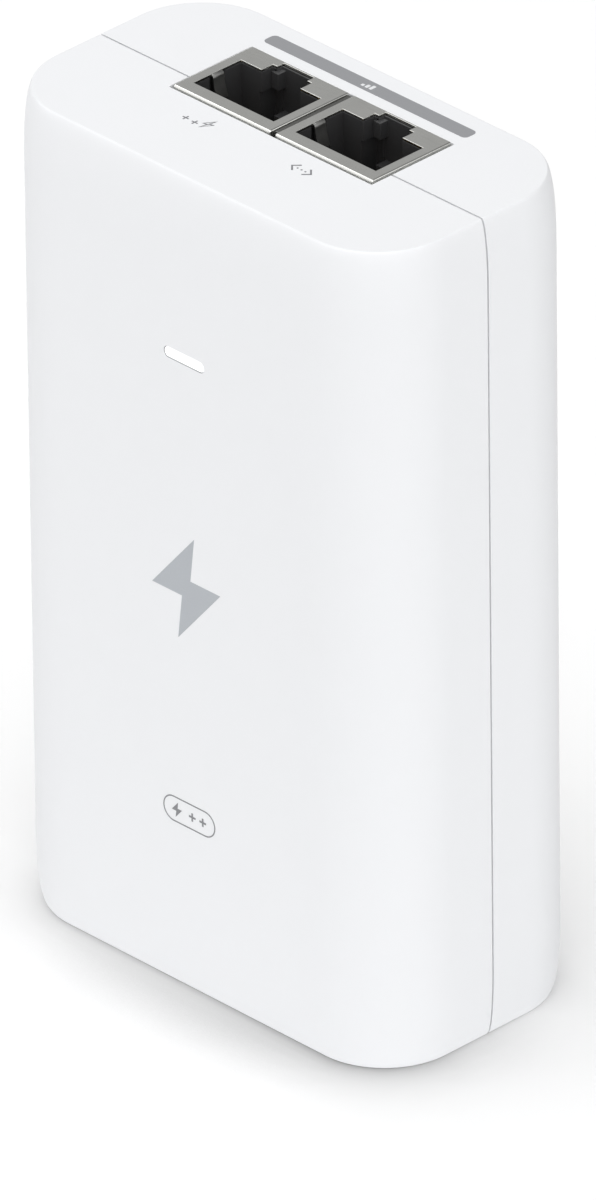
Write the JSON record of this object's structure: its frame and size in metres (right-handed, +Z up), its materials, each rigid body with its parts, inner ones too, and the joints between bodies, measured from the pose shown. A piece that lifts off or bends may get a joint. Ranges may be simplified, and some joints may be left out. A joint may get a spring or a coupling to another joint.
{
  "type": "poe injector",
  "caption": "Upright mains-fed Power over Ethernet injector: white two-part case, shielded modular jacks in the top, status light in front, mains inlet in the base.",
  "frame": {"origin": "centre of the base, on the surface that the injector stands on", "axes": "+Z up, from the mains inlet to the jacks; the front, with the status light, looks along -Y; +X is to the right seen from the front"},
  "size_m": [0.0594, 0.0324, 0.1002],
  "materials": {
    "white_case": "satin moulded, very fine spark texture",
    "light_pipe": "clear-white, polished",
    "status_lamp": "clear epoxy",
    "jack_shield": "satin nickel plate",
    "black_plastic": "moulded black",
    "gold_contact": "gold plate",
    "plated_pin": "bright nickel plate",
    "circuit_board": "solder mask",
    "film_capacitor": "moulded box",
    "blue_coating": "dipped epoxy",
    "green_coating": "powder coated core",
    "copper_winding": "enamelled copper wire",
    "capacitor_sleeve": "shrunk sleeve",
    "ferrite": "sintered",
    "winding_tape": "polyester tape",
    "aluminium": "mill finish",
    "screw_steel": "zinc plate",
    "silicone_pad": "soft filled silicone",
    "insulation_paper": "fish paper"
  },
  "bodies": {
    "case": {"front_shell": "white_case", "rear_shell": "white_case", "light_pipe": "light_pipe", "status_lamp": "status_lamp", "jack_a_shield": "jack_shield", "jack_b_shield": "jack_shield", "jack_a_insert": "black_plastic", "jack_b_insert": "black_plastic", "inlet_housing": "black_plastic", "fuse": "black_plastic", "bridge_rectifier": "black_plastic", "feedback_coupler": "black_plastic", "transformer_bobbin": "black_plastic", "power_switch": "black_plastic", "output_rectifier": "black_plastic", "jack_a_transformer": "black_plastic", "jack_b_transformer": "black_plastic", "power_controller": "black_plastic", "port_power_controller": "black_plastic", "inlet_line_pin": "plated_pin", "inlet_neutral_pin": "plated_pin", "inlet_earth_pin": "plated_pin", "main_board": "circuit_board", "suppression_capacitor": "film_capacitor", "surge_varistor": "blue_coating", "bridging_capacitor": "blue_coating", "choke_core": "green_coating", "choke_winding_left": "copper_winding", "choke_winding_right": "copper_winding", "bulk_capacitor": "capacitor_sleeve", "output_capacitor_left": "capacitor_sleeve", "output_capacitor_right": "capacitor_sleeve", "transformer_core": "ferrite", "transformer_winding": "winding_tape", "switch_heat_sink": "aluminium", "heat_spreader": "aluminium", "board_screw_1": "screw_steel", "board_screw_2": "screw_steel", "board_screw_3": "screw_steel", "board_screw_4": "screw_steel", "thermal_pad": "silicone_pad", "insulation_sheet": "insulation_paper"},
    "jack_a_contacts": {"jack_a_contact_1": "gold_contact", "jack_a_contact_2": "gold_contact", "jack_a_contact_3": "gold_contact", "jack_a_contact_4": "gold_contact", "jack_a_contact_5": "gold_contact", "jack_a_contact_6": "gold_contact", "jack_a_contact_7": "gold_contact", "jack_a_contact_8": "gold_contact"},
    "jack_b_contacts": {"jack_b_contact_1": "gold_contact", "jack_b_contact_2": "gold_contact", "jack_b_contact_3": "gold_contact", "jack_b_contact_4": "gold_contact", "jack_b_contact_5": "gold_contact", "jack_b_contact_6": "gold_contact", "jack_b_contact_7": "gold_contact", "jack_b_contact_8": "gold_contact"}
  },
  "joints": [
    {"name": "jack_a_contacts_flex", "type": "hinge", "parent": "case", "child": "jack_a_contacts", "pos_m": [-0.0077, -0.0011, 0.0981], "axis": [-1, 0, 0], "range_deg": [0, 10], "stiffness_Nm_per_rad": 0.4},
    {"name": "jack_b_contacts_flex", "type": "hinge", "parent": "case", "child": "jack_b_contacts", "pos_m": [0.0077, -0.0011, 0.0981], "axis": [-1, 0, 0], "range_deg": [0, 10], "stiffness_Nm_per_rad": 0.4}
  ]
}
